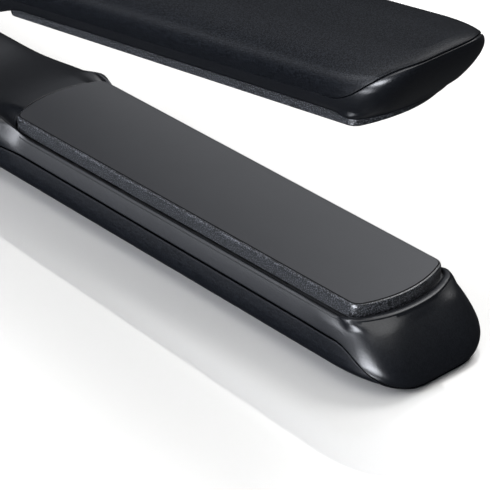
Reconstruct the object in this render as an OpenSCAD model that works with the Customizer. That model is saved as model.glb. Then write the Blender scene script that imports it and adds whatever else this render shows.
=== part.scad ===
// Flat iron (hair straightener): two long rounded arms on a rear hinge, each
// with a floating heated plate.  The lower arm lies on z = 0, +X points to the
// tip and +Y across.  Each arm is modelled once, in "arm space": x runs from
// the hinge axis to the tip and z runs up from the surface the arm lies on.
// The upper arm is the same arm mirrored in the plate plane and swung open.

/* [Overall] */
// Length from the end of the cord gland to the tip
total_len = 286; // [276:1:300]
// Hinge axis to the tip of the nose
tip_x = 263.4; // [255:0.2:268]
// Width of each arm at its widest
arm_w = 33.6; // [33:0.2:36]
// Angle between the two plates when fully open
open_angle = 8.54; // [4:0.02:12]
// Wall thickness of the plastic shells
wall = 1.8; // [1.6:0.1:2]

/* [Plates] */
// Length of the flat plate face
plate_len = 104; // [90:1:106]
// Width of the flat plate face
plate_w = 24; // [22:0.5:24.5]
// Bulge of the rounded plate ends
plate_sag = 2.8; // [2:0.1:4]
// Radius of the plate's corners
plate_r = 2.3; // [1.5:0.1:3]
// Tilt of the plate against the arm's back, in degrees
plate_tilt = 0.64; // [0.3:0.02:0.8]
// How far a plate floats into its arm
float_travel = 1.0; // [0.6:0.1:1.1]

/* [Hinge] */
// Height of the hinge axis above the table, and radius of the hinge hub
hinge_h = 12.7; // [12.5:0.1:13]
// Radius of the two hinge pins
pin_r = 2.5; // [2:0.1:3]
// Running clearance of the pins in the upper arm's ears
pin_clear = 0.05; // [0.02:0.01:0.09]

/* [Cord gland] */
// Radius of the passage for the cord
cord_r = 3.6; // [3:0.1:3.8]

/* [Power button] */
// Radius of the button
button_r = 4; // [3.5:0.1:4.5]
// How far the button travels
button_travel = 0.8; // [0.5:0.1:0.8]

/* [Hidden] */

fine = 64;                              // facets of round parts that carry exact surfaces
steps = 12;                             // points along each rounded outline
hinge_x = total_len / 2 - tip_x;        // hinge axis in the part's own frame
split_gap = 0.25;                       // groove between the two shells of an arm

// Cross-section of an arm
half_w = arm_w / 2;
belly_z = 5.65;                         // height of the widest point
crown = 0.15;                           // the back's crown is planed off flat by this much
back_exp = 2.74;                        // squareness of the back's corners
rim_half = 14.5;                        // half width at the shoulder's upper edge
rim_z = 12.8;                           // height of that edge
shoulder_exp = 1.21;                    // roundness of the shoulder
handle_z = 10.4;                        // height of the handle's inner face
deck_z = 13.9;                          // height of the inner face where it meets the plate
deck_run = 28;                          // length over which it falls to the handle's height
handle_exp = 4;                         // squareness of the handle's inner corners

// Nose
nose_run = 8.2;                         // the nose reaches this far past the rim
nose_exp = 1.61;                        // roundness of the nose's slope
nose_z = 1.1;                           // height of the tip's foremost point
nose_under = 5.8;                       // depth of the rounding below that point
cap_len = 15;                           // length over which the tip rounds off in plan
cap_x_exp = 2.4;
cap_y_exp = 5;

// Plate, measured in its own plane: distance d is depth below the plate plane
chord_x = tip_x - 13.6;                 // front corners of the plate face
plate_x = chord_x + plate_sag - plate_len / 2;
face_d = 0.15;                          // half the gap that is left between closed plates
plate_t = 3.2;                          // thickness of a plate
side_out = 0.5;                         // bulge of the plate's rounded sides
side_round = 1.1;                       // depth over which they round off
plate_round_steps = 4;
rear_x = chord_x - plate_len + 2 * plate_sag;

// Stack below the plate
ring_side = 1.2;                        // carrier ring: reach past the face at the sides
ring_end = 0.6;                         // and at the ends
ring_t = 1.4;
trench = 0.8;                           // gap round the ring at the sides
trench_end = 0.5;                       // and at the ends
lip_d = 2.35;                           // the nose's raised lip in front of the plate: depth of its top
lip_side = 2.4;                         // its reach past the face at the sides
lip_end = 2.8;                          // and at the end
element = [70, 14, 2];
insulator_t = 0.3;
clip_t = 0.5;
carrier_base_d = 6.6;
carrier_base_t = 1.2;
floor_d = 9.6;
floor_t = 1.4;
post_x = 42;                            // guide posts of the carrier, either side of centre
post_r = 1.5;
post_clear = 0.1;

// Split line between the shells
split_z = 8.45;                         // along the sides
split_tip_z = 1.15;                     // at the tip
split_from = -1.5;                      // the line leaves the side here, from the plate's front corners
split_run = 16.5;                       // and reaches the tip's height after this length

// Hinge
hub_half = 9.5;                         // half width of the lower arm's hub
ear_in = 9.8;                           // inner faces of the upper arm's ears
ear_out = 15.8;                         // outer faces
ear_r = hinge_h - 0.5;
hub_wall = 2;
hub_disc = 3;
turn_gap = 0.4;                         // clearance round turning hinge parts
washer_t = 0.2;
recess_r = 7.6;                         // spring recess in the far ear
recess_w = 3.4;
spring_r = 5;
wire_r = 0.4;

// Gland
neck_r = 6;
flange_r = 7.2;
seat_x = -8.6;                          // flange seat inside the hub
gland_end = -(total_len - tip_x);
brush_z = hinge_h - 8.1;                // foot of a brush, on the hub's inner wall
lead_r = 0.7;

// Handle fittings, x from the hinge axis
button_x = 44;
lens_x = 58;
lens_r = 1.2;
board = [66, 20, 1.2];
board_x = 64;
board_z = 3.2;
screw_x = [24, 104, 226];
screw_r = 1.1;
head_r = 2.2;
head_h = 1.4;
boss_r = 2.8;

// Colours
matte_black = [0.07, 0.07, 0.075];
satin_black = [0.12, 0.12, 0.13];
plate_grey = [0.2, 0.2, 0.21];
steel = [0.7, 0.7, 0.72];
brass = [0.8, 0.64, 0.32];

// ---- Outlines -------------------------------------------------------------

function super(t, e) = pow(max(0, 1 - pow(t, e)), 1 / e);
function smooth(t) = let (u = min(1, max(0, t))) u * u * (3 - 2 * u);
function both_sides(half) = concat(half, [for (i = [len(half) - 1:-1:0]) [-half[i][0], half[i][1]]]);

// The back and sides of an arm up to its widest point, inset by e: [y, z]
function back_half(e) = [for (i = [0:steps]) let (a = 90 - 90 * i / steps)
    [(half_w - e) * pow(cos(a), 2 / back_exp),
     belly_z - (belly_z + crown - e) * pow(max(0, sin(a)), 2 / back_exp)]];

function plate_section(e) = both_sides(concat(back_half(e),
    [for (i = [1:steps]) let (t = i / steps)
        [rim_half - e + (half_w - rim_half) * super(t, shoulder_exp),
         belly_z + (rim_z - e - belly_z) * t]]));

function handle_section(e, top) = both_sides(concat(back_half(e),
    [for (i = [1:steps - 1]) let (a = 90 * i / steps)
        [(half_w - e) * pow(cos(a), 2 / handle_exp),
         belly_z + (top - e - belly_z) * pow(sin(a), 2 / handle_exp)],
     [0.01, top - e]]));

// Front of the arm in side view at height z
function nose_at(z, e) = z > nose_z
    ? tip_x - e - nose_run * pow(min(1, (z - nose_z) / (rim_z - nose_z)), nose_exp)
    : tip_x - e - nose_under * (1 - super(min(1, (nose_z - z) / (nose_z + crown)), 2));

// Side view of the arm: back, nose, rim, deck and handle
function side_outline(e) = concat(
    [[0, e - crown]],
    [for (i = [0:4]) let (z = e - crown + (nose_z + crown) * i / 5) if (e == 0) [nose_at(z, e), z]],
    let (low = max(nose_z, e - crown)) [for (i = [0:10]) let (z = low + (deck_z - e - low) * i / 10)
        [nose_at(z, e), z]],
    [[rear_x - 2, deck_z - e]],
    [for (i = [1:8]) let (t = i / 8) [rear_x - 2 - deck_run * t, deck_z - e - (deck_z - handle_z) * smooth(t)]],
    [[0, handle_z - e]]);

// Plan view of the arm with its rounded tip
function plan_half(e) = concat([[0, half_w]],
    [for (i = [0:steps]) let (a = 90 * i / steps)
        [tip_x - e - cap_len + cap_len * pow(sin(a), 2 / cap_x_exp),
         (half_w - e) * pow(max(0, cos(a)), 2 / cap_y_exp)]]);
function plan_outline(e) = let (h = plan_half(e))
    concat(h, [for (i = [len(h) - 2:-1:0]) [h[i][0], -h[i][1]]]);

// Height of the split line in side view
function split_at(x) = split_z - (split_z - split_tip_z) * smooth((x - chord_x - split_from) / split_run);

// Plate outline about the plate's centre, grown by gs at the sides and ge at the ends
function end_quarter(gs, ge) =
    let (b = plate_w / 2 + gs, s = plate_sag, a = plate_len / 2 - s + ge, r = max(0.4, plate_r + min(gs, ge)),
         big = (b * b + s * s) / (2 * s), cx = a + s - big,
         yc = b - r, xc = cx + sqrt(pow(big - r, 2) - yc * yc), w = atan2(yc, xc - cx))
    concat([for (i = [0:7]) let (q = w * i / 7) [cx + big * cos(q), big * sin(q)]],
           [for (i = [1:5]) let (q = w + (90 - w) * i / 5) [xc + r * cos(q), yc + r * sin(q)]]);
function plate_outline(gs, ge) = let (q = end_quarter(gs, ge), n = len(q) - 1) concat(q,
    [for (i = [n:-1:0]) [-q[i][0], q[i][1]]],
    [for (i = [1:n]) [-q[i][0], -q[i][1]]],
    [for (i = [n:-1:1]) [q[i][0], -q[i][1]]]);

// Height of the floor of the plate's well
function well_floor_z(x) = hinge_h + x * tan(plate_tilt) - floor_d + 0.05;

// ---- Placing --------------------------------------------------------------

module lower_arm() translate([hinge_x, 0, 0]) children();
module upper_arm() translate([hinge_x, 0, hinge_h]) rotate([0, -(plate_tilt + open_angle), 0])
    mirror([0, 0, 1]) rotate([0, plate_tilt, 0]) translate([0, 0, -hinge_h]) children();

// Plate space: origin on the plate plane at the plate's centre, z up out of the arm
module on_plate() translate([0, 0, hinge_h]) rotate([0, -plate_tilt, 0]) translate([plate_x, 0, 0]) children();
// A slab of plate outline between two depths
module plate_slab(d, t, gs, ge) translate([0, 0, -d - t]) linear_extrude(t) polygon(plate_outline(gs, ge));

module along_x(x0, x1) translate([x0, 0, 0]) rotate([90, 0, 90]) linear_extrude(x1 - x0) children();
module along_y(width) rotate([90, 0, 0]) linear_extrude(width, center = true) children();
module x_drum(r, x0, x1) translate([x0, 0, hinge_h]) rotate([0, 90, 0]) cylinder(r = r, h = x1 - x0, $fn = fine);
// A drum on the hinge axis between two distances across
module hinge_drum(r, y0, y1) translate([0, y1, hinge_h]) rotate([90, 0, 0]) cylinder(r = r, h = y1 - y0, $fn = fine);
module each_side() { children(); mirror([0, 1, 0]) children(); }
// A solid through rings of points, which turn counter-clockwise seen from before the first ring
module loft(rings) {
    n = len(rings[0]);
    last = (len(rings) - 1) * n;
    polyhedron([for (ring = rings) each ring], concat(
        [[for (k = [n - 1:-1:0]) k]],
        [[for (k = [0:n - 1]) last + k]],
        [for (i = [0:len(rings) - 2], k = [0:n - 1]) let (next = (k + 1) % n)
            [i * n + k, i * n + next, (i + 1) * n + next, (i + 1) * n + k]]));
}

// ---- Arm bodies -----------------------------------------------------------

module arm_solid(e) intersection() {
    union() {
        along_x(rear_x - 4, tip_x) polygon(plate_section(e));
        along_x(rear_x - deck_run - 4, rear_x - 2) polygon(handle_section(e, deck_z));
        along_x(0, rear_x - deck_run - 2) polygon(handle_section(e, handle_z));
    }
    along_y(arm_w + 2) polygon(side_outline(e));
    linear_extrude(deck_z + 2) polygon(plan_outline(e));
}

// Everything above the split line, or everything below it with a gap
module above_split() along_y(arm_w + 2) polygon(concat(
    [[-1, split_z]],
    [for (i = [0:steps]) let (x = chord_x + split_from + split_run * i / steps) [x, split_at(x)]],
    [[tip_x + 1, split_tip_z], [tip_x + 1, deck_z + 3], [-1, deck_z + 3]]));
module below_split() along_y(arm_w + 2) polygon(concat(
    [[-1, -1], [-1, split_z - split_gap]],
    [for (i = [0:steps]) let (x = chord_x + split_from + split_run * i / steps) [x, split_at(x) - split_gap]],
    [[tip_x + 1, split_tip_z - split_gap], [tip_x + 1, -1]]));

module screw_place(i) translate([screw_x[i], 0, 0]) children();

// Room for the turning hub, or for the turning ears
module hub_room(r, half) hinge_drum(r, -half, half);
module ear_room() each_side() hinge_drum(ear_r + turn_gap, hub_half, arm_w);

module outer_shell() color(matte_black) difference() {
    union() {
        intersection() {
            difference() { arm_solid(0); arm_solid(wall); }
            below_split();
        }
        for (i = [0:1]) screw_place(i) translate([0, 0, wall - crown - 0.2])
            cylinder(r = boss_r, h = handle_z - 2 * wall + crown + 0.1, $fn = fine);
        screw_place(2) translate([0, 0, wall - crown - 0.2]) cylinder(r = boss_r, h = 1.6, $fn = fine);
    }
    for (i = [0:2]) screw_place(i) translate([0, 0, wall - 0.6]) cylinder(r = screw_r, h = 20, $fn = fine);
}

// The structural shell: handle deck, shoulders, nose and the well that holds the plate
module inner_shell_body() difference() {
    union() {
        intersection() {
            difference() {
                arm_solid(0);
                difference() { arm_solid(wall); translate([rear_x - 7, -arm_w, 0]) cube([tip_x, 2 * arm_w, 40]); }
            }
            above_split();
        }
        intersection() {
            arm_solid(wall + 0.2);
            translate([rear_x - 7, -arm_w, 0]) cube([chord_x + 6 - rear_x + 7, 2 * arm_w, 40]);
            on_plate() translate([-tip_x / 2, -arm_w, -floor_d - floor_t]) cube([tip_x, 2 * arm_w, 30]);
        }
        intersection() {
            on_plate() plate_slab(lip_d, 2, lip_side, lip_end);
            translate([chord_x - 4, -arm_w, 0]) cube([30, 2 * arm_w, 40]);
        }
    }
    on_plate() {
        plate_slab(-5, 5 + face_d + plate_t + ring_t + float_travel + 0.4, ring_side + trench, ring_end + trench_end);
        plate_slab(-5, 5 + floor_d, 0, 0);
        for (x = [-post_x, post_x]) translate([x, 0, -floor_d - floor_t - 1])
            cylinder(r = post_r + post_clear, h = 4, $fn = fine);
    }
    translate([rear_x - 8, -5, hinge_h - 5.5]) cube([8, 10, 3]);
    for (i = [0:1]) screw_place(i) {
        cylinder(r = screw_r + 0.2, h = 20, $fn = fine);
        translate([0, 0, handle_z - head_h]) cylinder(r = head_r + 0.2, h = 5, $fn = fine);
    }
    screw_place(2) cylinder(r = screw_r + 0.2, h = 20, $fn = fine);
}

module lower_outer_shell() lower_arm() color(matte_black) difference() {
    outer_shell();
    ear_room();
    hub_room(hinge_h + 0.1, hub_half + 0.1);
    translate([-hinge_h, -arm_w, -1]) cube([hinge_h, 2 * arm_w, 40]);
}

module lower_inner_shell() lower_arm() color(satin_black) difference() {
    union() {
        difference() { inner_shell_body(); ear_room(); }
        hinge_drum(hinge_h, -hub_half, hub_half);
    }
    hinge_drum(hinge_h - hub_wall, -hub_half + hub_disc, hub_half - hub_disc);
    hinge_drum(pin_r, -arm_w, arm_w);
    x_drum(neck_r + pin_clear, -hinge_h - 1, 0);
    x_drum(flange_r + turn_gap, seat_x, 0);
    // ways for the leads into both arms
    translate([0, -hub_half + hub_disc, 2.6]) cube([hinge_h + 4, 2 * (hub_half - hub_disc), handle_z - wall - 2.6]);
    translate([0, -4, hinge_h + 2]) cube([hinge_h + 1, 8, 5]);
    translate([button_x, 0, 0]) cylinder(r = button_r + 0.1, h = 20, $fn = fine);
    translate([lens_x, 0, 0]) cylinder(r = lens_r, h = 20, $fn = fine);
}

module upper_outer_shell() upper_arm() color(matte_black) difference() {
    outer_shell();
    hub_room(hinge_h + turn_gap, ear_in);
    each_side() hinge_drum(ear_r + 0.05, ear_in - 0.1, arm_w);
}

module upper_inner_shell() upper_arm() color(satin_black) difference() {
    union() {
        inner_shell_body();
        each_side() hinge_drum(ear_r, ear_in, ear_out);
    }
    hub_room(hinge_h + turn_gap, ear_in);
    each_side() hinge_drum(hinge_h + 1, ear_out, arm_w);
    hinge_drum(pin_r + pin_clear, -arm_w, arm_w);
    hinge_drum(recess_r, 0, ear_in + recess_w);
    translate([-2.6, ear_in, hinge_h]) cube([4.2, recess_w, 10]);
}

// ---- Plate group ----------------------------------------------------------

// Face, rounded sides that bulge out, and a flat back
module heater_plate() on_plate() color(plate_grey) {
    rounding = [for (i = [0:plate_round_steps]) let (t = i / plate_round_steps)
        [face_d + side_round * t, side_out * super(1 - t, 2)]];
    loft([for (level = concat(rounding, [[face_d + plate_t, side_out]]))
        [for (p = plate_outline(level[1], level[1])) [p[0], p[1], -level[0]]]]);
}

module plate_carrier() on_plate() translate([0, 0, -face_d]) color(matte_black) {
    difference() {
        union() {
            plate_slab(plate_t, ring_t, ring_side, ring_end);
            plate_slab(plate_t, carrier_base_d + carrier_base_t - plate_t, -0.3, -0.3);
            for (x = [-post_x, post_x]) translate([x, 0, -floor_d - floor_t])
                cylinder(r = post_r, h = 4, $fn = fine);
        }
        plate_slab(plate_t - 1, carrier_base_d - plate_t + 1, -2.2, -4);
        for (x = [-26, 0, 26]) translate([x - 8, -6, -20]) cube([16, 12, 30]);
    }
}

module heater_element() on_plate() color([0.9, 0.88, 0.82])
    translate([-element[0] / 2, -element[1] / 2, -face_d - plate_t - element[2]]) cube(element);
module heater_insulator() on_plate() color([0.75, 0.6, 0.35])
    translate([-element[0] / 2 - 1, -element[1] / 2, -face_d - plate_t - element[2] - insulator_t])
        cube([element[0] + 2, element[1], insulator_t]);

// Spring clip with two legs that reach up to the plate's back
module heater_clip() on_plate() color(steel) {
    leg_y = element[1] / 2 + 0.3;
    top_d = face_d + plate_t;
    low_d = top_d + element[2] + insulator_t;
    along_x(-20, 20) polygon([[-leg_y - clip_t, -top_d], [-leg_y - clip_t, -low_d - clip_t],
        [leg_y + clip_t, -low_d - clip_t], [leg_y + clip_t, -top_d], [leg_y, -top_d], [leg_y, -low_d],
        [-leg_y, -low_d], [-leg_y, -top_d]]);
}

module temperature_sensor() on_plate() color([0.15, 0.2, 0.3])
    translate([element[0] / 2 + 4, 0, -face_d - plate_t]) mirror([0, 0, 1]) {
        cylinder(r = 1.6, h = 1.4, $fn = fine);
        for (y = [-0.9, 0.9]) translate([-2, y, 1]) rotate([0, 90, 0]) cylinder(r = 0.3, h = 1.6, $fn = fine);
    }

// Two arched leaf springs between the carrier and the floor of the well
module float_springs() on_plate() color(steel) {
    room = floor_d - carrier_base_d - carrier_base_t - face_d;
    for (x = [-26, 26]) translate([x, 0, -floor_d]) along_y(6) polygon(concat(
        [for (i = [0:10]) let (u = -1 + i / 5) [9 * u, (room - 0.02) * (1 - u * u * 0.85)]],
        [for (i = [10:-1:0]) let (u = -1 + i / 5) [9 * u - 0.05 * u, (room - 0.02) * (1 - u * u * 0.85) - 0.25]]));
}

module heat_shield() color([0.8, 0.78, 0.7])
    translate([rear_x + 4, -6, wall]) cube([66, 12, 0.3]);

// ---- Hinge, gland, button and electrics -------------------------------------

module screws() color(steel) {
    for (i = [0:1]) screw_place(i) translate([0, 0, handle_z - head_h]) {
        difference() {
            cylinder(r = head_r, h = head_h - 0.1, $fn = fine);
            translate([0, 0, head_h - 0.8]) cylinder(r = 0.9, h = 1, $fn = 6);
        }
        translate([0, 0, -6]) cylinder(r = screw_r, h = 6.1, $fn = fine);
    }
    screw_place(2) translate([0, 0, well_floor_z(screw_x[2])]) {
        cylinder(r = head_r, h = 1, $fn = fine);
        translate([0, 0, -3.4]) cylinder(r = screw_r, h = 3.5, $fn = fine);
    }
}
module hinge_pins() lower_arm() color(steel) each_side() hinge_drum(pin_r, hub_half - hub_disc, ear_out - 0.2);
module hinge_washers() lower_arm() color(brass) each_side() difference() {
    hinge_drum(pin_r + 2, hub_half + 0.02, hub_half + washer_t);
    hinge_drum(pin_r, 0, arm_w);
}
module hinge_caps() upper_arm() color(satin_black) each_side() hinge_drum(7, ear_out, half_w);

// A round wire along a path of points
function unit(v) = v / norm(v);
function heading(p, i) = unit(p[min(i + 1, len(p) - 1)] - p[max(i - 1, 0)]);
module wire(path, r, sides, up)
    loft([for (i = [0:len(path) - 1]) let (t = heading(path, i), a = unit(cross(t, up)), b = cross(a, t))
        [for (k = [0:sides - 1]) path[i] + r * (cos(360 * k / sides) * a + sin(360 * k / sides) * b)]]);

module hinge_spring() {
    turns = 2.25;
    pitch = 1.05;
    coil = [for (i = [0:36]) let (t = turns * i / 36)
        [spring_r * cos(90 + 360 * t), ear_in + wire_r + 0.15 + pitch * t, spring_r * sin(90 + 360 * t)]];
    lower_arm() translate([0, 0, hinge_h]) color(steel) wire(coil, wire_r, 8, [0, 1, 0.02]);
}

module cord_gland() lower_arm() color(matte_black) translate([0, 0, hinge_h]) rotate([0, -90, 0])
    rotate_extrude($fn = fine) polygon([
        [cord_r, 3.4], [4.2, 3.4], [4.2, -seat_x - 1.2], [flange_r, -seat_x - 1.2], [flange_r, -seat_x - 0.1],
        [neck_r, -seat_x - 0.1], [neck_r, hinge_h + 0.4], [neck_r + 0.8, hinge_h + 0.9],
        [neck_r + 0.8, hinge_h + 3], [5.4, -gland_end - 0.8], [4.8, -gland_end], [cord_r, -gland_end]]);

module swivel_slip_rings() lower_arm() color(brass) for (x = [-5.4, -7.1]) difference() {
    x_drum(4.9, x, x + 1);
    x_drum(4.2, x - 1, x + 2);
}
module swivel_brushes() lower_arm() color(brass) for (x = [-5.2, -6.9]) translate([x, 0, 0]) {
    translate([0, -3, hinge_h - 5.25]) cube([0.6, 6, 0.3]);
    translate([0, -3.3, brush_z]) cube([0.6, 0.3, hinge_h - 4.95 - brush_z]);
}

module power_button() lower_arm() color([0.3, 0.3, 0.32]) translate([button_x, 0, 0]) {
    translate([0, 0, handle_z - 2]) cylinder(r = button_r, h = 2.6, $fn = fine);
    translate([0, 0, handle_z - wall - 1]) cylinder(r = button_r + 0.8, h = 0.9, $fn = fine);
}
module button_switch() lower_arm() color([0.2, 0.2, 0.2]) translate([button_x, 0, board_z + board[2]]) {
    translate([-3, -3, 0]) cube([6, 6, 1.6]);
    cylinder(r = 1.7, h = handle_z - wall - 1 - button_travel - 0.1 - board_z - board[2], $fn = fine);
}
module control_board() lower_arm() color([0.1, 0.35, 0.2])
    translate([board_x - board[0] / 2, -board[1] / 2, board_z]) cube(board);
module on_board(x, y) lower_arm() translate([x, y, board_z + board[2]]) children();
module power_capacitor() on_board(78, -8.5) color([0.75, 0.6, 0.1]) cube([13, 6, 3.6]);
module mains_triac() on_board(78, 2) color([0.12, 0.12, 0.12]) {
    cube([9, 7, 3]);
    translate([9, 0.5, 0]) color(steel) cube([5, 6, 0.8]);
}
module control_chip() on_board(64, -3) color([0.1, 0.1, 0.1]) cube([7, 6, 1.2]);
module terminal_block() on_board(34, -5) color([0.2, 0.4, 0.7]) cube([5, 10, 3.4]);
module status_led() on_board(lens_x, 0) color([0.9, 0.9, 0.9]) cylinder(r = 1.1, h = 2, $fn = fine);
module status_lens() lower_arm() color([0.9, 0.9, 0.95]) translate([lens_x, 0, handle_z - 3])
    cylinder(r = lens_r, h = 3.05, $fn = fine);

// Flexible leads, as a pair beside the centre line
function lead_path(x0, z0, y) = [
    [x0, y, z0], [x0 + 8, y, z0], [112, y, 5.6], [124, y, 6.2], [134, y, 7.4], [rear_x - 7.5, y, 8.4]];
module lead_pair(x0, z0) color([0.7, 0.1, 0.08]) for (y = [-3.6, 3.6]) wire(lead_path(x0, z0, y), lead_r, 8, [0, 0, 1]);
module lower_leads() lower_arm() lead_pair(98, 5.6);
module upper_leads() upper_arm() lead_pair(18, 5.6);

module thermal_fuse() upper_arm() on_plate() color([0.85, 0.8, 0.7])
    translate([-element[0] / 2 - 6, 3, -face_d - plate_t - 1.2]) rotate([0, 90, 90]) translate([0, 0, -6])
        cylinder(r = 1.2, h = 7, $fn = fine);

lower_outer_shell();
lower_inner_shell();
lower_arm() heater_plate();  // lower_heater_plate
lower_arm() plate_carrier();  // lower_plate_carrier
lower_arm() heater_element();  // lower_heater_element
lower_arm() heater_insulator();  // lower_heater_insulator
lower_arm() heater_clip();  // lower_heater_clip
lower_arm() temperature_sensor();  // lower_temperature_sensor
lower_arm() float_springs();  // lower_float_springs
lower_arm() heat_shield();  // lower_heat_shield
lower_arm() screws();  // lower_shell_screws
lower_leads();
upper_outer_shell();
upper_inner_shell();
upper_arm() heater_plate();  // upper_heater_plate
upper_arm() plate_carrier();  // upper_plate_carrier
upper_arm() heater_element();  // upper_heater_element
upper_arm() heater_insulator();  // upper_heater_insulator
upper_arm() heater_clip();  // upper_heater_clip
upper_arm() temperature_sensor();  // upper_temperature_sensor
upper_arm() float_springs();  // upper_float_springs
upper_arm() heat_shield();  // upper_heat_shield
upper_arm() screws();  // upper_shell_screws
upper_leads();
thermal_fuse();
hinge_pins();
hinge_spring();
hinge_washers();
hinge_caps();
cord_gland();
swivel_slip_rings();
swivel_brushes();
power_button();
button_switch();
control_board();
power_capacitor();
mains_triac();
control_chip();
terminal_block();
status_led();
status_lens();
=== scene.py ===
"""Flat iron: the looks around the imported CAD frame.  Lengths in this file are millimetres until
they reach Blender, where MM turns them into metres.

Each arm is described once, in arm space: x runs from the hinge axis to the tip, y across, and z up
from the surface the arm lies on.  The upper arm is the same arm mirrored and swung open."""

from math import cos, radians, sin, tan

import bmesh
import bpy
import numpy as np
from mathutils import Matrix, Vector


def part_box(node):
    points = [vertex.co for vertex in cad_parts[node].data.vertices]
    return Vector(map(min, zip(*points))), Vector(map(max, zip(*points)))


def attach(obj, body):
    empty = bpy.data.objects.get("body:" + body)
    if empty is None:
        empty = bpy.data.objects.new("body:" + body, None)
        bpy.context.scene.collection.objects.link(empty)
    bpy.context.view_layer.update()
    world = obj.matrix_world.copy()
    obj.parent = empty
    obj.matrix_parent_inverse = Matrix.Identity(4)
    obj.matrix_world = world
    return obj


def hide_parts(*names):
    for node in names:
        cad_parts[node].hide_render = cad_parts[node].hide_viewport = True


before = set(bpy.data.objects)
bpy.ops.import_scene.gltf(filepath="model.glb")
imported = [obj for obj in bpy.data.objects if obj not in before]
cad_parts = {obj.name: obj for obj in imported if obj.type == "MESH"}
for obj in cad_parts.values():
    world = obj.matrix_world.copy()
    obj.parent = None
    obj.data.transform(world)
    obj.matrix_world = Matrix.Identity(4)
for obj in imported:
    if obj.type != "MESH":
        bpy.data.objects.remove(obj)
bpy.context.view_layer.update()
MM = 0.001

# ---- Sizes -------------------------------------------------------------------

pin_lo, pin_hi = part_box("hinge_pins")
HINGE = (pin_lo + pin_hi) / 2 / MM          # hinge axis in the frame
HINGE_H = HINGE.z
PIN_R = (pin_hi - pin_lo).z / 2 / MM
shell_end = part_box("lower_outer_shell")[1]
TIP_X, HALF_W = shell_end.x / MM - HINGE.x, shell_end.y / MM
OPEN_ANGLE, PLATE_TILT = radians(8.54), radians(0.64)
SKIN, INNER_SKIN = 0.5, 0.9                 # thickness of the two casings

# the plate; its ends are shallow arcs between small round corners
PLATE_LEN, PLATE_W, SAG, CORNER = 104.0, 24.0, 2.8, 2.3
FACE_D, PLATE_T = 0.15, 3.2                 # face below the plate plane, thickness
CHORD_X = TIP_X - 13.6                      # front corners of the plate face
PLATE_X = CHORD_X + SAG - PLATE_LEN / 2     # plate's centre

# an arm's section: heights, half widths and superellipse powers
BELLY, CROWN = 5.65, 0.15                   # height of the widest line, planed part of the back
BACK_EXP, SHOULDER_EXP, HANDLE_EXP = 2.74, 1.21, 4.0
REAR_BLEND = (146.5, 157.2)                 # handle section turns into shoulder section here
RIM_HALF, RIM_HALF_NOSE = 13.82, 14.5       # shoulder's upper edge, along the plate and at the nose
RIM_DROP_REAR, RIM_DROP_FRONT, RIM_DROP_LIP = 2.92, 3.3, 2.8    # that edge under the plate plane

# height of the handle's inner face and of the deck behind the plate, length of the rise between
# them, and how far behind the plate it ends
HANDLE_Z, DECK_Z, DECK_RUN, DECK_END = 10.4, 13.9, 28.0, 2
CORNER_SQUARER = 4.0                        # added to HANDLE_EXP just behind the plate

# the nose in side view: it runs back from its foremost height NOSE_Z up to RIM_Z and down to 0
NOSE_Z, NOSE_RUN, NOSE_EXP, NOSE_UNDER = 1.1, 8.2, 1.61, 4.7
RIM_Z, RIM_END_Z = 12.8, 12.75
CAP = 15.0                                  # the nose's length in plan
CAP_P, CAP_Q = 4.97, 2.5                    # powers of its outline at the upper edge
CAP_P_GAIN, CAP_Q_LOSS, CAP_Q_BULGE = 1.09, 0.88, 2.7   # and how they change towards the foot

# the split between the casings drops from SPLIT_Z to SPLIT_TIP towards the tip; its width
SPLIT_Z, SPLIT_TIP, SPLIT_GAP, TIGHT_GAP = 8.45, 1.15, 0.3, 0.05

# the rim round the plate's opening lies this far outside the face: beside the plate, and what is added
# at the rear, along the nose lip and (outer edge) at the lip's front
RIM_INNER, RIM_OUTER = (1.42, -0.84, -0.37), (1.82, -0.97, 0.78, 0.35)

# where things change along the arm: (start, length)
NOSE_WIDENS, SEAM_OPENS, EDGE_MEETS, RIM_SINKS = (238, 12), (236, 14), (110, 30), (155, 90)
CORNER_SQUARES, SPLIT_DROPS = (PLATE_X - 59, 9.0), (CHORD_X - 1.5, 16.5)
REAR_RIM_ENDS, LIP_RISES, LIP_WIDENS = (PLATE_X - 50.4, 4.4), (PLATE_X + 45.9, 4.2), (PLATE_X + 49.2, 2.5)


def sup(t, e):
    return np.maximum(0.0, 1 - np.clip(t, 0, 1) ** e) ** (1 / e)


def smooth(t):
    u = np.clip(t, 0, 1)
    return u * u * (3 - 2 * u)


def rise(x, start, run):
    """0 up to start and 1 from start + run on."""
    return smooth((x - start) / run)


def mix(a, b, t):
    return a + (b - a) * t


def plate_z(x):
    """Height of the plate plane."""
    return HINGE_H + x * tan(PLATE_TILT)


def deck_top(x):
    """Height of the handle's inner face along the middle."""
    behind = CHORD_X - PLATE_LEN + 2 * SAG - DECK_END - x
    return DECK_Z - (DECK_Z - HANDLE_Z) * smooth(behind / DECK_RUN)


def shoulder_weight(x):
    """0 along the handle, 1 where the section has the plate's shoulder."""
    return rise(x, REAR_BLEND[0], REAR_BLEND[1] - REAR_BLEND[0])


def nose_weight(x):
    """0 beside the plate, 1 along the lip in front of it."""
    return rise(x, *LIP_RISES)


def rim_z(x):
    """Height of the shoulder's upper edge, which rises to the nose lip in front of the plate."""
    start, run = RIM_SINKS
    side = mix(RIM_DROP_REAR, RIM_DROP_FRONT, np.clip((x - start) / run, 0, 1))
    return plate_z(x) - mix(side, RIM_DROP_LIP, nose_weight(x))


def corner_exp(x):
    """The handle's inner corners get squarer just behind the plate."""
    return HANDLE_EXP + CORNER_SQUARER * rise(x, *CORNER_SQUARES)


def split_at(x):
    """Height of the split between the casings."""
    return SPLIT_Z - (SPLIT_Z - SPLIT_TIP) * rise(x, *SPLIT_DROPS)


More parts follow.
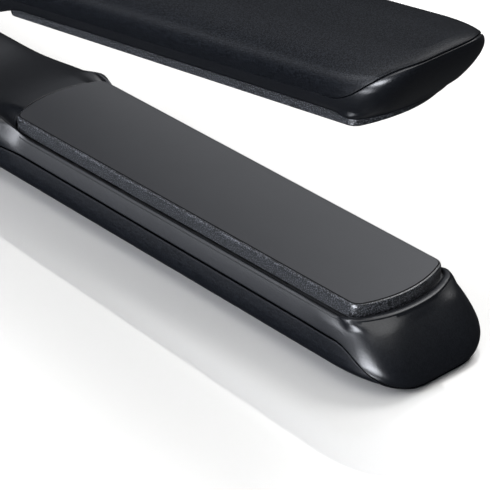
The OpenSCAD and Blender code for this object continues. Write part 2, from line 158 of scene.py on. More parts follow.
def nose_at(z):
    """Front of the arm in side view at height z."""
    over = TIP_X - NOSE_RUN * np.clip((z - NOSE_Z) / (RIM_Z - NOSE_Z), 0, 1) ** NOSE_EXP
    under = TIP_X - NOSE_UNDER * (1 - sup((NOSE_Z - z) / (NOSE_Z + CROWN), 2))
    return np.where(z > NOSE_Z, over, under)


def deck_z(x, y):
    """Height of the handle's inner face."""
    return BELLY + (deck_top(x) - BELLY) * sup(np.abs(y) / HALF_W, corner_exp(x))


def half_width(x, z, top):
    """Half width of the arm at height z; top is the height of the shoulder's edge there."""
    back = HALF_W * sup((BELLY - z) / (BELLY + CROWN), BACK_EXP)
    rim = mix(RIM_HALF, RIM_HALF_NOSE, rise(x, *NOSE_WIDENS))
    shoulder = rim + (HALF_W - rim) * sup((z - BELLY) / (top - BELLY), SHOULDER_EXP)
    handle = HALF_W * sup((z - BELLY) / (deck_top(x) - BELLY), corner_exp(x))
    return np.where(z < BELLY, back, mix(handle, shoulder, shoulder_weight(x)))


# ---- Outlines round the plate ------------------------------------------------

def face_outline(n_side, n_corner, n_arc):
    """Half outline of the plate face (y >= 0), from the middle of the rear arc to the middle of the
    front arc, with its outward normals, in arm x and y."""
    b, a = PLATE_W / 2, PLATE_LEN / 2 - SAG
    big = (b * b + SAG * SAG) / (2 * SAG)
    cx, yc = a + SAG - big, b - CORNER
    xc = cx + np.sqrt((big - CORNER) ** 2 - yc * yc)
    w = np.arctan2(yc, xc - cx)
    q = np.linspace(0, w, n_arc, endpoint=False)
    arc = np.stack([cx + big * np.cos(q), big * np.sin(q), np.cos(q), np.sin(q)], 1)
    q = np.linspace(w, np.pi / 2, n_corner)
    corner = np.stack([xc + CORNER * np.cos(q), yc + CORNER * np.sin(q), np.cos(q), np.sin(q)], 1)
    quarter = np.concatenate([arc, corner])
    s = np.linspace(-1, 1, n_side + 2)[1:-1]
    side = np.stack([s * xc, 0 * s + b, 0 * s, 0 * s + 1], 1)
    rear = quarter * [-1, 1, -1, 1]
    half = np.concatenate([rear, side, quarter[::-1]])
    half[:, 0] += PLATE_X
    return half


def grown(outline, g):
    """The outline's x and y, moved outward by g."""
    return outline[:, :2] + outline[:, 2:] * np.reshape(g, (-1, 1))


def opening_growth(outline):
    """How far the rim round the plate's opening lies outside the outline, at its outer and inner
    edge, then how far it is the opening's rear and how far a nose lip."""
    x = outline[:, 0]
    rear, front = 1 - rise(x, *REAR_RIM_ENDS), nose_weight(x)
    inner = RIM_INNER[0] + RIM_INNER[1] * rear + RIM_INNER[2] * front
    outer = RIM_OUTER[0] + RIM_OUTER[1] * rear + RIM_OUTER[2] * front
    return outer + RIM_OUTER[3] * rise(x, *LIP_WIDENS), inner, rear, front


# ---- Meshes ------------------------------------------------------------------

def to_frame(p, upper):
    """Arm space to the frame, in metres."""
    p = np.array(p, float).reshape(-1, 3)
    if upper:
        t, swing = PLATE_TILT, PLATE_TILT + OPEN_ANGLE
        x, z = p[:, 0].copy(), p[:, 2] - HINGE_H
        x1, z1 = x * cos(t) + z * sin(t), -(-x * sin(t) + z * cos(t))
        p = np.stack([x1 * cos(swing) - z1 * sin(swing), p[:, 1],
                      x1 * sin(swing) + z1 * cos(swing) + HINGE_H], 1)
    return (p + [HINGE.x, 0, 0]) * MM


def grid_faces(rows, cols, start=0, closed=False):
    """Quads of a grid stored row by row."""
    out = []
    for i in range(rows - 1):
        for j in range(cols if closed else cols - 1):
            k = (j + 1) % cols
            out.append((start + i * cols + j, start + i * cols + k,
                        start + (i + 1) * cols + k, start + (i + 1) * cols + j))
    return out


class Sheet:
    """Collects grids in arm space and welds them."""

    def __init__(self):
        self.points, self.faces, self.tags = [], [], []

    def grid(self, g, flip=False, closed=False, tag=0, mirror=True):
        rows, cols = g.shape[:2]
        for side in ((1, -1) if mirror else (1,)):
            faces = grid_faces(rows, cols, len(self.points), closed)
            self.points += [(p[0], p[1] * side, p[2]) for p in g.reshape(-1, 3)]
            if flip != (side < 0):
                faces = [f[::-1] for f in faces]
            self.faces += faces
            self.tags += [tag] * len(faces)

    def fan(self, ring, flip=False, tag=0):
        """A flat cap over one closed ring."""
        n = len(self.points)
        self.points += [tuple(p) for p in ring]
        face = tuple(range(n, n + len(ring)))
        self.faces.append(face[::-1] if flip else face)
        self.tags.append(tag)

    def build(self, name, upper, materials, punches=(), sharp=40):
        mesh = bpy.data.meshes.new(name)
        mesh.from_pydata([tuple(p) for p in to_frame(self.points, upper)], [],
                         [f[::-1] for f in self.faces] if upper else self.faces)
        for m in materials:
            mesh.materials.append(m)
        mesh.polygons.foreach_set("material_index", self.tags)
        bm = bmesh.new()
        bm.from_mesh(mesh)
        bmesh.ops.remove_doubles(bm, verts=bm.verts, dist=2e-6)
        bmesh.ops.dissolve_degenerate(bm, edges=bm.edges, dist=1e-6)
        for hole in punches:
            punch(bm, upper, *hole)
        for f in bm.faces:
            f.smooth = True
        bm.to_mesh(mesh)
        bm.free()
        mesh.set_sharp_from_angle(angle=radians(sharp))
        obj = bpy.data.objects.new(name, mesh)
        bpy.context.scene.collection.objects.link(obj)
        return obj


HOLE_EDGE = [(0.22, 0), (0.06, 0.05), (0, 0.22)]       # rounded edge of a hole: (wider by, lower by)
HOLE_STEPS = 48
HOLE_LEVEL, HOLE_CLEAR = 1.0, 1.25          # faces go within this height of it and this many radii


def punch(bm, upper, x, r, top, depth):
    """A round hole on the middle line of an open sheet, with a wall going down into it."""
    centre = Vector(to_frame([(x, 0, top)], upper)[0])
    down = (Vector(to_frame([(x, 0, top - 1)], upper)[0]) - centre) / MM
    near = []
    for f in bm.faces:
        off = f.calc_center_median() - centre
        if abs(off.dot(down)) < HOLE_LEVEL * MM and any(
                ((v.co - centre) - (v.co - centre).dot(down) * down).length < r * HOLE_CLEAR * MM
                for v in f.verts):
            near.append(f)
    border = dict.fromkeys(e for f in near for e in f.edges)    # in order, for the same mesh each run
    bmesh.ops.delete(bm, geom=near, context="FACES")
    border = [e for e in border if e.is_valid and e.is_boundary]
    level = sum(((v.co - centre).dot(down) for e in border for v in e.verts)) / (2 * len(border))
    steps = HOLE_STEPS
    angles = [2 * np.pi * k / steps for k in range(steps)]

    def ring(radius, z):
        pts = to_frame([(x + radius * cos(a), radius * sin(a), top - z) for a in angles], upper)
        return [bm.verts.new(tuple(p)) for p in pts]

    rings = [ring(r + wider, level / MM + lower) for wider, lower in HOLE_EDGE] + [ring(r, depth)]
    first = [bm.edges.new((rings[0][k], rings[0][(k + 1) % steps])) for k in range(steps)]
    bmesh.ops.triangle_fill(bm, edges=border + first, use_beauty=True)
    for a, b in zip(rings, rings[1:]):
        for k in range(steps):
            n = (k + 1) % steps
            bm.faces.new((a[k], a[n], b[n], b[k]))
    bmesh.ops.recalc_face_normals(bm, faces=bm.faces)


# ---- The casings -------------------------------------------------------------

outline = face_outline(90, 14, 22)
outer_g, inner_g, rear_w, front_w = opening_growth(outline)
rim_xy = grown(outline, outer_g)
SIDE_START = int(np.argmax(outline[:, 0] > PLATE_X - 46.2))     # from here it is the shoulder's edge
X_C = rim_xy[SIDE_START, 0]
STATIONS = ((0, 20, 26), (20, 118, 50), (118, X_C, 52))         # columns behind it: from, to, how many
C_TOP = float(nose_at(np.array(RIM_END_Z)) - CAP)               # centre of the nose's plan outline
END_X = 26                                  # the columns up to here follow the rounded rear end
EDGE_Y, EDGE_FROM = 14.3, 149               # the handle's edge, and where it starts to near the opening
DECK_X, DECK_Y = 157, 14.5                  # the edge's height is the deck's no further out than this
TOP_BLEND, CAP_BLEND = 3.5, 1.8             # the wall bends to meet the edge over these heights


def columns(rear_end):
    """Column stations: x on the shoulder's edge, its y and z, polar angle on the cap or nan."""
    rear_x = np.concatenate([np.linspace(*station)[:-1] for station in STATIONS])
    y_rear = mix(EDGE_Y, rim_xy[SIDE_START, 1], smooth((rear_x - EDGE_FROM) / (X_C - EDGE_FROM)))
    x = np.concatenate([rear_x, rim_xy[SIDE_START:, 0]])
    y = np.concatenate([y_rear, rim_xy[SIDE_START:, 1]])
    z = mix(deck_z(np.minimum(x, DECK_X), np.minimum(y, DECK_Y)), rim_z(x), shoulder_weight(x))
    angle = np.where(x > C_TOP, np.arctan2(y, x - C_TOP), np.nan)
    return {"x": x, "y": y, "z": z, "angle": angle, "rear": len(rear_x), "end": rear_end,
            "radius": np.hypot(x - C_TOP, y)}


def polar(angle, w, p, q):
    """Distance from the cap's centre to its superellipse of half width w and powers p and q."""
    lo, hi = np.zeros_like(angle), np.full_like(angle, 40.0)    # halved until it is found
    for _ in range(40):
        r = (lo + hi) / 2
        inside = (r * np.cos(angle) / CAP) ** q + (r * np.sin(angle) / w) ** p < 1
        lo, hi = np.where(inside, r, lo), np.where(inside, hi, r)
    return lo


def wall_point(c, z):
    """Point of every column of c on the arm's outside at height z (one height per column)."""
    x, cap = c["x"], ~np.isnan(c["angle"])
    centre = nose_at(z) - CAP
    shift = np.where(x > X_C, (x - X_C) / (C_TOP - X_C), 0) * (centre - C_TOP)
    px = x + shift
    w = half_width(px, z, c["z"])
    w_top = half_width(x, c["z"], c["z"])
    near_top = rise(z, c["z"] - TOP_BLEND, TOP_BLEND) * (z >= BELLY) * rise(x, *EDGE_MEETS)
    py = w + (c["y"] - w_top) * near_top
    start = np.sqrt(np.maximum(0.04, c["end"] ** 2 - (z - HINGE_H) ** 2))
    px = np.where(x < END_X, start + px * (END_X - start) / END_X, px)
    t = np.clip((c["z"] - z) / c["z"], 0, 1)
    p, q = CAP_P + CAP_P_GAIN * t, CAP_Q - CAP_Q_LOSS * t + CAP_Q_BULGE * t * (1 - t) ** 3
    angle = np.where(cap, c["angle"], 1.0)
    r = polar(angle, np.maximum(w, 0.01), p, q)
    r_top = polar(angle, w_top, np.full_like(w, CAP_P), np.full_like(w, CAP_Q))
    r = r * (1 + rise(z, c["z"] - CAP_BLEND, CAP_BLEND) * (c["radius"] / r_top - 1))
    return np.where(cap, centre + r * np.cos(angle), px), np.where(cap, r * np.sin(angle), py)


def split_height(c, drop):
    """Height of the split line on every column, lowered by drop."""
    lo, hi = np.full_like(c["x"], SPLIT_TIP - 0.1), np.full_like(c["x"], SPLIT_Z + 0.1)
    for _ in range(30):
        z = (lo + hi) / 2
        above = z > split_at(wall_point(c, z)[0])
        lo, hi = np.where(above, lo, z), np.where(above, z, hi)
    return lo - drop


def drawn_in(c, z, by):
    """Column points at height z, moved inward by a distance."""
    x, y = wall_point(c, z)
    tx, ty = np.gradient(x), np.gradient(y)
    for t in (tx, ty):
        for _ in range(3):
            t[1:-1] = (t[:-2] + 2 * t[1:-1] + t[2:]) / 4
    tx[-1], ty[-1] = 0.0, -1.0
    n = np.hypot(tx, ty) + 1e-9
    y_in = np.maximum(y - by * np.abs(tx) / n, 0)
    return np.stack([x - by * np.abs(ty) / n, np.where(y < 1e-6, 0, y_in), z], 1)


EDGE = [(0.0, 0.16), (0.03, 0.07), (0.1, 0.015)]       # rounded lip beside the split: (height, inset)
EDGE_H = 0.2                                # the wall proper starts this far from the split


def seam_gap(c, upper):
    """The seam is tight along the upper arm's sides and opens towards its nose."""
    opened = rise(c["x"], *SEAM_OPENS) if upper else np.ones_like(c["x"])
    return mix(TIGHT_GAP, SPLIT_GAP, opened)


def thicken(obj, thickness):
    mod = obj.modifiers.new("wall", "SOLIDIFY")
    mod.thickness = thickness * MM
    mod.offset = -1


def outer_casing(name, upper, end, material):
    """From the split down and across the back to the middle line."""
    c = columns(end)
    gap = seam_gap(c, upper)
    top = split_height(c, gap)
    rows = [drawn_in(c, top - h, i * (gap / SPLIT_GAP)) for h, i in EDGE]
    over = 8                                # above the belly this height counts as one radian
    power = BACK_EXP / 2

    def to_angle(z):
        return np.where(z > BELLY, -(z - BELLY) / over,
                        np.arcsin(np.clip((BELLY - z) / (BELLY + CROWN), 0, 1) ** power))

    def to_height(a):
        return np.where(a < 0, BELLY - over * a,
                        BELLY - (BELLY + CROWN) * np.sin(np.maximum(a, 0)) ** (2 / BACK_EXP))

    start, full = to_angle(top - EDGE_H), np.arcsin((BELLY / (BELLY + CROWN)) ** power)
    for s in np.linspace(0, 1, 34)[:-1]:
        rows.append(drawn_in(c, np.maximum(to_height(start + (full - start) * s), 0.0), 0.0))
    foot = drawn_in(c, np.zeros_like(top), 0.0)
    middle = foot.copy()
    middle[:, 1] = 0
    cap = ~np.isnan(c["angle"])
    cx = foot[np.argmax(cap), 0]
    turn = 1 - c["angle"][cap] / (np.pi / 2)
    middle[cap, 0] = cx + (foot[-1, 0] - cx) * np.maximum(turn, 0)
    rows += [foot] + [mix(foot, middle, s) for s in np.linspace(0, 1, 7)[1:]]
    sheet = Sheet()
    sheet.grid(np.array(rows))
    obj = sheet.build(name, upper, [material])
    thicken(obj, SKIN)
    return obj


def rear_deck(edge):
    """The deck behind the plate, from its edge inward.  Its stations bend to follow the opening's
    rear side, and it meets the edge at the edge's own height."""
    loop = rim_xy[:SIDE_START + 1][::-1]        # from the side round the rear corner to the middle
    deck = [edge]
    for x_loop, y_loop in loop[1:]:
        y = edge[:, 1] * y_loop / loop[0, 1]
        x = edge[:, 0] - (loop[0, 0] - x_loop) * smooth((edge[:, 0] - 100) / (X_C - 100))
        fix = (edge[:, 2] - deck_z(edge[:, 0], edge[:, 1])) * smooth(1 - (edge[:, 1] - y) / 5.5)
        deck.append(np.stack([x, y, deck_z(x, y) + fix], 1))
    return np.array(deck)


# section of the rim from its outer edge (1) to its inner (0), with the height: a round edge beside and
# behind the plate, a raised lip at the nose
ROUND_RIM = [(1.0, 0.0), (0.8, 0.0), (0.6, -0.01), (0.4, -0.03), (0.22, -0.07), (0.08, -0.14),
             (0, -0.24), (0, -0.36)]
NOSE_LIP = [(1.0, 0.0), (0.985, 0.17), (0.93, 0.31), (0.8, 0.41), (0.55, 0.45), (0.3, 0.4), (0.1, 0.25),
            (0.02, 0.08)]
WELL = 6.3                                  # depth of the opening's wall under the plate plane


def opening_rim(edge):
    """The rim round the opening, which starts at the given edge, and the wall down inside it."""
    inner = grown(outline, inner_g)
    width = (outer_g - inner_g)[:, None]
    rim = []
    for (ra, rz), (la, lz) in zip(ROUND_RIM, NOSE_LIP):
        a, z = mix(ra, la, front_w), mix(rz * mix(1, 0.35, rear_w), lz, front_w)
        xy = inner + outline[:, 2:] * width * a[:, None]
        rim.append(np.concatenate([xy, (edge[:, 2] + z)[:, None]], 1))
    rim[0] = edge
    low, foot = rim[-1][:, 2], plate_z(inner[:, 0]) - WELL
    wall = grown(outline, inner_g + 0.4 * rear_w)
    rim.append(np.concatenate([inner, (low - 0.3)[:, None]], 1))
    rim += [np.concatenate([wall, mix(low, foot, s)[:, None]], 1) for s in (0.12, 0.5, 1.0)]
    return np.array(rim)


def inner_casing(name, upper, end, material, punches):
    """From the split up to the shoulder's edge, the deck behind the plate, and the opening's rim."""
    c = columns(end)
    bottom = split_height(c, 0)
    gap = seam_gap(c, upper)
    rows = [drawn_in(c, bottom - gap - 0.02, 0.6)]      # a tongue behind the outer casing's edge
    rows += [drawn_in(c, bottom + h, i * (gap / SPLIT_GAP)) for h, i in EDGE]
    first = bottom + EDGE_H
    rows += [drawn_in(c, first + (c["z"] - first) * s, 0.0) for s in np.linspace(0, 1, 30)]
    edge, k = rows[-1], c["rear"]
    edge[:, 0] = np.where(c["x"] < END_X, edge[:, 0], c["x"])
    edge[k:, 1] = c["y"][k:]
    deck = rear_deck(edge[:k + 1])
    sheet = Sheet()
    for g in (np.array(rows), deck, opening_rim(np.concatenate([deck[::-1, -1], edge[k + 1:]]))):
        sheet.grid(g, flip=True)
    obj = sheet.build(name, upper, [material], punches)
    thicken(obj, INNER_SKIN)
    return obj


# ---- Plate and carrier ring --------------------------------------------------

plate_half = face_outline(60, 16, 24)


def ring_points(g_side, g_end, depth):
    """Closed ring of the plate's outline, grown at its sides and ends and sunk, in arm space."""
    blend = rise(np.abs(plate_half[:, 0] - PLATE_X), PLATE_LEN / 2 - 7, 5)
    xy = grown(plate_half, mix(g_side, g_end, blend))
    full = np.concatenate([xy, (xy * [1, -1])[-2:0:-1]])
    u = full[:, 0] - PLATE_X
    x = PLATE_X * cos(PLATE_TILT) + u * cos(PLATE_TILT) + depth * sin(PLATE_TILT)
    z = HINGE_H + (PLATE_X + u) * sin(PLATE_TILT) - depth * cos(PLATE_TILT)
    return np.stack([x, full[:, 1], z], 1)


def stack(name, upper, levels, materials, tags):
    """A closed block of rings; levels are (side growth, end growth, depth) and tags their materials."""
    sheet = Sheet()
    rings = np.array([ring_points(*level) for level in levels])
    for i in range(len(levels) - 1):
        sheet.grid(rings[i:i + 2], flip=True, closed=True, tag=tags[i], mirror=False)
    sheet.fan(rings[0], flip=True)
    sheet.fan(rings[-1], tag=tags[-1])
    return sheet.build(name, upper, materials, sharp=28)


def heater_plate(name, upper, face, band):
    """The face, a dark line of painted shade round its edge, and a band that rolls out below it."""
    foot = FACE_D + PLATE_T
    levels = [(-0.16, FACE_D), (-0.1, FACE_D + 0.04), (0.04, FACE_D + 0.16)]
    levels += [(0.5 * float(sup(1 - t, 2)), FACE_D + 1.1 * t) for t in (0.22, 0.36, 0.52, 0.72, 1.0)]
    levels += [(0.5, 2.2), (0.5, foot - 0.1), (0.42, foot)]
    return stack(name, upper, [(g, g, d) for g, d in levels], [face, band, PAINTED_EDGE_SHADE],
                 [2, 2] + [1] * (len(levels) - 3))


def carrier_ring(name, upper, material):
    """The carrier's edge, which shows as a step under the plate."""
    top = FACE_D + PLATE_T
    levels = [(1.0, 0.45, top), (1.14, 0.55, top + 0.05), (1.2, 0.6, top + 0.2), (1.2, 0.6, top + 1.3)]
    return stack(name, upper, levels, [material], [0, 0, 0])


# ---- Hinge barrels -----------------------------------------------------------

def drum(name, upper, radius, y0, y1, material, bore=0.0, web=None, soft=0.7, steps=96):
    """A barrel on the hinge axis with rounded rims; web=(x, z0, z1) runs it forward into the arm."""
    a = np.linspace(0, 2 * np.pi, steps, endpoint=False)
    ring = np.stack([radius * np.cos(a), radius * np.sin(a)], 1)
    if web:
        reach, z0, z1 = web
        low, high = z0 - HINGE_H, z1 - HINGE_H
        ahead = (ring[:, 0] > 0) & (ring[:, 1] > low) & (ring[:, 1] < high)
        ring[ahead, 0] = reach

    def row(shrink, y):
        length = np.hypot(ring[:, 0], ring[:, 1])[:, None]
        p = ring * (1 - shrink / length)
        return np.stack([p[:, 0], np.full(steps, y), p[:, 1] + HINGE_H], 1)

    def hole(y):
        return np.stack([bore * np.cos(a), np.full(steps, y), bore * np.sin(a) + HINGE_H], 1)

    rows = [row(soft * (1 - np.sin(b)), y0 + soft * (1 - np.cos(b)))
            for b in np.linspace(0, np.pi / 2, 6)]
    rows += [row(soft * (1 - np.sin(b)), y1 - soft * (1 - np.cos(b)))
             for b in np.linspace(np.pi / 2, 0, 6)]
    if bore:
        rows = [hole(y0)] + rows + [hole(y1)]
    sheet = Sheet()
    sheet.grid(np.array(rows), closed=True, mirror=False)
    if bore:
        sheet.grid(np.array([hole(y1), hole(y0)]), closed=True, mirror=False)
    else:
        sheet.fan(rows[0])
        sheet.fan(rows[-1], flip=True)
    return sheet.build(name, upper, [material], sharp=32)


# ---- Materials ---------------------------------------------------------------

SMUDGE_SCALE, VARY_SCALE = 70, 160          # noise scales per metre
SPOT_EDGE = (0.06, 0.04)                    # a fleck fades over this much noise around its threshold


def material(name, base, rough, metallic=0.0, specular=0.5, coat=0.0, grain=None, spots=None,
             smudge=0.0, vary=0.0, brushed=False):
    """Principled surface.  grain=(scale, height mm) bumps it, spots=(scale, colour, share) flecks it,
    smudge varies its roughness and vary its colour over about a centimetre."""
    m = bpy.data.materials.new(name)
    m.use_nodes = True
    t = m.node_tree
    n, link = t.nodes, t.links.new
    bsdf = n["Principled BSDF"]
    bsdf.inputs["Base Color"].default_value = (*base, 1)
    bsdf.inputs["Roughness"].default_value = rough
    bsdf.inputs["Metallic"].default_value = metallic
    bsdf.inputs["Specular IOR Level"].default_value = specular
    bsdf.inputs["Coat Weight"].default_value = coat
    bsdf.inputs["Coat Roughness"].default_value = 0.25
    coord = n.new("ShaderNodeTexCoord")

    def noise(scale, detail=3.0, stretch=None):
        tex = n.new("ShaderNodeTexNoise")
        tex.inputs["Scale"].default_value = scale
        tex.inputs["Detail"].default_value = detail
        if stretch:
            mapping = n.new("ShaderNodeMapping")
            mapping.inputs["Scale"].default_value = stretch
            link(coord.outputs["Object"], mapping.inputs["Vector"])
            link(mapping.outputs["Vector"], tex.inputs["Vector"])
        else:
            link(coord.outputs["Object"], tex.inputs["Vector"])
        return tex

    def ramp(source, lo, hi, low, high):
        r = n.new("ShaderNodeMapRange")
        r.inputs["From Min"].default_value = lo
        r.inputs["From Max"].default_value = hi
        r.inputs["To Min"].default_value = low
        r.inputs["To Max"].default_value = high
        link(source, r.inputs["Value"])
        return r.outputs["Result"]

    if smudge:
        link(ramp(noise(SMUDGE_SCALE, 4).outputs["Fac"], 0.3, 0.7, rough - smudge, rough + smudge),
             bsdf.inputs["Roughness"])
    if vary or spots:
        blend = n.new("ShaderNodeMix")
        blend.data_type = "RGBA"
        blend.inputs["A"].default_value = (*base, 1)
        if spots:
            scale, colour, share = spots
            blend.inputs["B"].default_value = (*colour, 1)
            link(ramp(noise(scale, 2).outputs["Fac"], 1 - share - SPOT_EDGE[0],
                      1 - share + SPOT_EDGE[1], 0, 1), blend.inputs["Factor"])
        else:
            blend.inputs["B"].default_value = (*[min(1, v * (1 + vary)) for v in base], 1)
            link(noise(VARY_SCALE, 5).outputs["Fac"], blend.inputs["Factor"])
        link(blend.outputs["Result"], bsdf.inputs["Base Color"])
    if grain:
        scale, height = grain
        tex = noise(scale, 2.0, (1, 14, 14) if brushed else None)
        bump = n.new("ShaderNodeBump")
        bump.inputs["Distance"].default_value = height * MM
        bump.inputs["Strength"].default_value = 1.0
        link(tex.outputs["Fac"], bump.inputs["Height"])
        link(bump.outputs["Normal"], bsdf.inputs["Normal"])
    return m


CASING = material("casing_matte", (0.0016, 0.002, 0.003), 0.42, specular=0.15, grain=(3000, 0.045),
                  smudge=0.02, spots=(3300, (0.0062, 0.0072, 0.0092), 0.48))
INNER = material("casing_satin", (0.0034, 0.0039, 0.0052), 0.3, specular=0.4, grain=(3000, 0.016),
                 smudge=0.02, spots=(3300, (0.0065, 0.0073, 0.009), 0.5))
FACE = material("plate_face", (0.03, 0.0305, 0.033), 0.5, grain=(3800, 0.006), smudge=0.02, vary=0.1)
BAND = material("plate_band", (0.005, 0.0053, 0.006), 0.3, grain=(3000, 0.04),
                spots=(4000, (0.095, 0.1, 0.11), 0.425))
# painted shade: the face edge's rounding gets a near-black, dull finish, so it shows as the dark line of
# shade along the edge
PAINTED_EDGE_SHADE = material("plate_edge_painted_shade", (0.004, 0.004, 0.0045), 0.7, specular=0.1, grain=(3000, 0.01),
                vary=0.2)
RING = material("carrier_black", (0.006, 0.0065, 0.0075), 0.38, grain=(1800, 0.012), vary=0.2)
STEEL = material("steel_brushed", (0.55, 0.55, 0.57), 0.3, metallic=1.0, grain=(900, 0.004),
                 smudge=0.06, brushed=True)
BRASS = material("brass_satin", (0.72, 0.5, 0.2), 0.3, metallic=1.0, grain=(900, 0.004), smudge=0.06)
GLAND = material("gland_rubber", (0.012, 0.012, 0.013), 0.6, specular=0.35, grain=(1500, 0.03),
                 vary=0.3)
BUTTON = material("button_gloss", (0.012, 0.0125, 0.014), 0.2, coat=0.3, grain=(1500, 0.002), vary=0.2)
LENS = material("lens_frosted", (0.75, 0.76, 0.8), 0.25, grain=(1500, 0.004), vary=0.05)
CERAMIC = material("ceramic_white", (0.8, 0.77, 0.68), 0.6, grain=(1200, 0.01), vary=0.1)
MICA = material("mica_sheet", (0.5, 0.36, 0.18), 0.35, grain=(800, 0.01),
                spots=(900, (0.75, 0.6, 0.35), 0.45))
SENSOR = material("sensor_bead", (0.02, 0.04, 0.09), 0.2, grain=(900, 0.003), vary=0.3)
SLEEVE = material("lead_sleeve", (0.38, 0.02, 0.015), 0.5, grain=(1200, 0.01), vary=0.2)
BOARD = material("board_green", (0.01, 0.09, 0.035), 0.3, grain=(600, 0.01),
                 spots=(350, (0.015, 0.14, 0.05), 0.5))
PART_BLACK = material("component_black", (0.01, 0.01, 0.01), 0.45, grain=(1500, 0.01), vary=0.3)
PART_YELLOW = material("component_yellow", (0.55, 0.36, 0.02), 0.3, grain=(900, 0.006), vary=0.15)
PART_BLUE = material("component_blue", (0.03, 0.1, 0.4), 0.3, grain=(900, 0.006), vary=0.15)
SHIELD = material("shield_foil", (0.6, 0.58, 0.52), 0.35, metallic=0.8, grain=(500, 0.03), smudge=0.08)

# ---- Pieces ------------------------------------------------------------------

# holes in the handle's inner face: (x, radius, height of the face, depth)
SCREW_HOLES = [(24, 2.4, HANDLE_Z, 1.6), (104, 2.4, HANDLE_Z, 1.6)]
BUTTON_HOLES = [(44, 4.12, HANDLE_Z, 1.2), (58, 1.25, HANDLE_Z, 1.6)]
REAR_RADIUS = {"lower": 12.6, "upper": 13.1}    # the casings end this far from the hinge axis
HINGE_WEB = (16, 2.0, 8.6)                  # the barrels run into the arms: reach, low and high edge
EAR_INSET, BORE_PLAY = 0.5, 0.04            # the ears are this much smaller; play round the pin


def place(obj, body, slot, *nodes):
    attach(obj, body)
    if nodes:
        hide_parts(*nodes)


for arm, upper in (("lower", False), ("upper", True)):
    body, end = arm + "_arm", REAR_RADIUS[arm]
    holes = SCREW_HOLES + ([] if upper else BUTTON_HOLES)
    place(outer_casing(arm + "_outer_casing", upper, end, CASING), body, "outer_casing",
          arm + "_outer_shell")
    place(inner_casing(arm + "_inner_casing", upper, end, INNER, holes), body, "inner_casing",
          arm + "_inner_shell")
    place(heater_plate(arm + "_plate", upper, FACE, BAND), arm + "_plate", "plate_coating",
          arm + "_heater_plate")
    place(carrier_ring(arm + "_carrier_ring", upper, RING), arm + "_plate", "carrier")

hub = drum("lower_hinge_barrel", False, HINGE_H, -9.5, 9.5, INNER, web=HINGE_WEB)
place(hub, "lower_arm", "inner_casing", "lower_inner_shell")
for tag, y0, y1 in (("near", -15.8, -9.8), ("far", 9.8, 15.8)):
    ear = drum("upper_hinge_ear_" + tag, True, HINGE_H - EAR_INSET, y0, y1, INNER,
               bore=PIN_R + BORE_PLAY, web=HINGE_WEB)
    place(ear, "upper_arm", "inner_casing", "upper_inner_shell")

NODE_LOOKS = {
    "plate_carrier": RING, "heater_element": CERAMIC, "heater_insulator": MICA, "heater_clip": STEEL,
    "temperature_sensor": SENSOR, "float_springs": STEEL, "heat_shield": SHIELD, "shell_screws": STEEL,
    "leads": SLEEVE, "thermal_fuse": CERAMIC, "hinge_pins": STEEL, "hinge_spring": STEEL,
    "hinge_washers": BRASS, "hinge_caps": INNER, "cord_gland": GLAND, "swivel_slip_rings": BRASS,
    "swivel_brushes": BRASS, "power_button": BUTTON, "button_switch": PART_BLACK, "control_board": BOARD,
    "power_capacitor": PART_YELLOW, "mains_triac": PART_BLACK, "control_chip": PART_BLACK,
    "terminal_block": PART_BLUE, "status_led": LENS, "status_lens": LENS}
ROUNDED = ("hinge_caps", "cord_gland", "power_button", "hinge_pins", "shell_screws", "status_lens")
for name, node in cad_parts.items():
    key = name.removeprefix("lower_").removeprefix("upper_")
    look = NODE_LOOKS.get(key, INNER)
    if not node.material_slots:
        node.data.materials.append(look)
    for held in node.material_slots:
        held.link = "OBJECT"
        held.material = look
    if key in ROUNDED:
        soft = node.modifiers.new("edge", "BEVEL")
        soft.width, soft.segments, soft.limit_method = 0.25 * MM, 3, "ANGLE"
        soft.angle_limit = radians(40)

# ---- Floor, light and camera ---------------------------------------------------

scene = bpy.context.scene
scene.view_settings.view_transform = "Standard"

REACH, BELOW = 8, 0.0002                    # half side of the floor and its gap to the arm, in metres
ground = bpy.data.meshes.new("floor")
ground.from_pydata([(x * REACH, y * REACH, 0) for x, y in ((-1, -1), (1, -1), (1, 1), (-1, 1))], [],
                   [(0, 1, 2, 3)])
floor = bpy.data.objects.new("floor", ground)
scene.collection.objects.link(floor)
floor.location.z = -BELOW
floor.visible_diffuse = floor.visible_glossy = False
paper = bpy.data.materials.new("floor_white")
paper.use_nodes = True
nodes, link = paper.node_tree.nodes, paper.node_tree.links.new
nodes.remove(nodes["Principled BSDF"])
matt, shine, both = (nodes.new("ShaderNode" + kind)
                     for kind in ("BsdfDiffuse", "BsdfAnisotropic", "MixShader"))
matt.inputs["Color"].default_value = (0.455, 0.45, 0.44, 1)
shine.inputs["Color"].default_value = (1, 1, 1, 1)
shine.inputs["Roughness"].default_value = 0.12
both.inputs["Fac"].default_value = 0.12
link(matt.outputs[0], both.inputs[1])
link(shine.outputs[0], both.inputs[2])
link(both.outputs[0], nodes["Material Output"].inputs["Surface"])
ground.materials.append(paper)

world = bpy.data.worlds.new("studio")
scene.world = world
world.use_nodes = True
sky, link = world.node_tree.nodes, world.node_tree.links.new
toward = sky.new("ShaderNodeTexCoord").outputs["Generated"]


def glow(direction, inner, outer, strength, under):
    """Adds a soft patch of light in one direction, full within inner degrees and gone at outer."""
    dot = sky.new("ShaderNodeVectorMath")
    dot.operation = "DOT_PRODUCT"
    dot.inputs[1].default_value = Vector(direction).normalized()
    link(toward, dot.inputs[0])
    fall = sky.new("ShaderNodeMapRange")
    fall.interpolation_type = "SMOOTHSTEP"
    fall.inputs["From Min"].default_value = cos(radians(outer))
    fall.inputs["From Max"].default_value = cos(radians(inner))
    fall.inputs["To Max"].default_value = strength
    link(dot.outputs["Value"], fall.inputs["Value"])
    total = sky.new("ShaderNodeMath")
    total.operation = "ADD"
    link(fall.outputs["Result"], total.inputs[0])
    if isinstance(under, float):
        total.inputs[1].default_value = under
    else:
        link(under, total.inputs[1])
    return total.outputs[0]


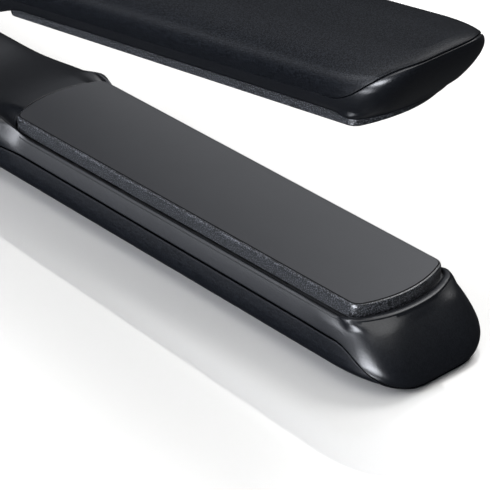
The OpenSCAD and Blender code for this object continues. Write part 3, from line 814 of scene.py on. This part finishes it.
# patches of light: direction, full within and gone at these degrees, strength
PATCHES = (((0.3, -0.93, 0.02), 5, 23, 31.0),       # level, from the near side
           ((-0.62, -0.7, 0.42), 16, 30, 1.3),      # raised, from the near side and the handle's end
           ((-0.3, -0.78, 0.54), 4, 13, 24.0),      # higher, from the near side
           ((-0.42, 0.5, 0.85), 18, 42, 0.6),       # high, from the far side
           ((0.05, -0.75, -0.66), 3, 12, 17.0))     # from below on the near side
light = 0.045                               # even light from everywhere else
for patch in PATCHES:
    light = glow(*patch, light)
sky["Background"].inputs["Color"].default_value = (0.95, 0.98, 1.05, 1)
link(light, sky["Background"].inputs["Strength"])


def softbox(name, at, aim, size, power):
    lamp = bpy.data.lights.new(name, "AREA")
    lamp.shape, lamp.size, lamp.size_y, lamp.energy = "RECTANGLE", size[0], size[1], power
    obj = bpy.data.objects.new(name, lamp)
    scene.collection.objects.link(obj)
    obj.location = at
    obj.rotation_euler = (Vector(aim) - Vector(at)).to_track_quat("-Z", "Y").to_euler()


AIM = (0.08, 0, 0.02)
softbox("overhead", (0.1, 0.1, 1.6), AIM, (2.2, 2.2), 44)

# two suns that light only the floor throw the grey shade beside the arms: power, spread in degrees
# and the ray's direction
lit = bpy.data.collections.new("floor_only")
lit.objects.link(floor)
FLOOR_SUNS = (("crisp", 1.9, 0.5, (22.6, -20.5, -68.6)), ("soft", 2.1, 20, (20, -56, -68.6)))
for tag, power, spread, ray in FLOOR_SUNS:
    sun = bpy.data.lights.new("floor_sun_" + tag, "SUN")
    sun.energy, sun.angle = power, radians(spread)
    sun_obj = bpy.data.objects.new("floor_sun_" + tag, sun)
    scene.collection.objects.link(sun_obj)
    sun_obj.rotation_euler = Vector(ray).to_track_quat("-Z", "Y").to_euler()
    sun_obj.light_linking.receiver_collection = lit

softbox("plate_fill", (0.1, 0.42, 0.42), (0.16, 0, 0.015), (0.3, 0.2), 0.9)

# the photograph's camera: azimuth, elevation and roll, lens on a 36 mm sensor, place in metres
AZ, EL, ROLL = radians(44.556), radians(31.630), radians(2.558)
LENS_MM, SENSOR_MM = 235.1, 36
CAMERA_AT = (0.47444, -0.39305, 0.34389)
back = Vector((sin(AZ) * cos(EL), -cos(AZ) * cos(EL), sin(EL)))
level = Vector((cos(AZ), sin(AZ), 0))
up = back.cross(level)
right = level * cos(ROLL) + up * sin(ROLL)
up = back.cross(right)
camera = bpy.data.objects.new("camera", bpy.data.cameras.new("camera"))
scene.collection.objects.link(camera)
camera.data.lens, camera.data.sensor_width = LENS_MM, SENSOR_MM
camera.data.clip_start, camera.data.clip_end = 0.05, 20
camera.matrix_world = Matrix.Translation(CAMERA_AT) @ Matrix((right, up, back)).transposed().to_4x4()
scene.camera = camera
